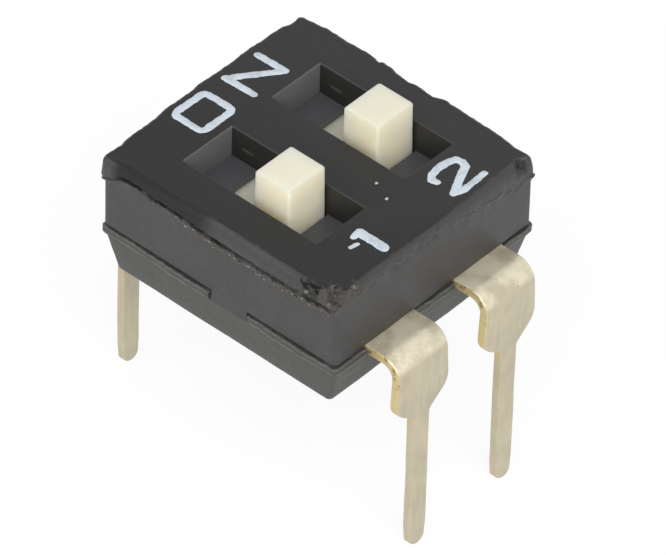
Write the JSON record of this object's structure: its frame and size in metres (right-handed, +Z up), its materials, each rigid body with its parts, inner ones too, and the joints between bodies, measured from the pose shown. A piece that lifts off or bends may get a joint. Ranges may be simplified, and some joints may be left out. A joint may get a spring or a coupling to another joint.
{
  "type": "dip switch",
  "caption": "Small black slide switch block for a circuit board, with cream raised knobs in recesses and flat bent legs in two rows.",
  "frame": {"origin": "middle of the housing in plan, at the plane of the leg tips", "axes": "+X along each row of legs from position 1 to position 2, +Y towards the ON side, +Z up out of the circuit board"},
  "size_m": [0.0058, 0.0078, 0.0074],
  "materials": {
    "cover_plastic": "fine satin moulded black, chipped edges",
    "base_plastic": "fine satin moulded black",
    "knob_plastic": "smooth cream moulded",
    "contact_metal": "plated spring strip",
    "plated_leg": "pale plated strip, soft sheen"
  },
  "bodies": {
    "housing": {"cover": "cover_plastic", "base": "base_plastic", "terminal_number_side_1": "plated_leg", "terminal_number_side_2": "plated_leg", "terminal_on_side_1": "plated_leg", "terminal_on_side_2": "plated_leg"},
    "slider_1": {"slider_1": "knob_plastic", "contact_1": "contact_metal"},
    "slider_2": {"slider_2": "knob_plastic", "contact_2": "contact_metal"}
  },
  "joints": [
    {"name": "slider_1_slide", "type": "slide", "parent": "housing", "child": "slider_1", "axis": [0, 1, 0], "range_m": [0, 0.00085]},
    {"name": "slider_2_slide", "type": "slide", "parent": "housing", "child": "slider_2", "axis": [0, 1, 0], "range_m": [0, 0.00085]}
  ]
}
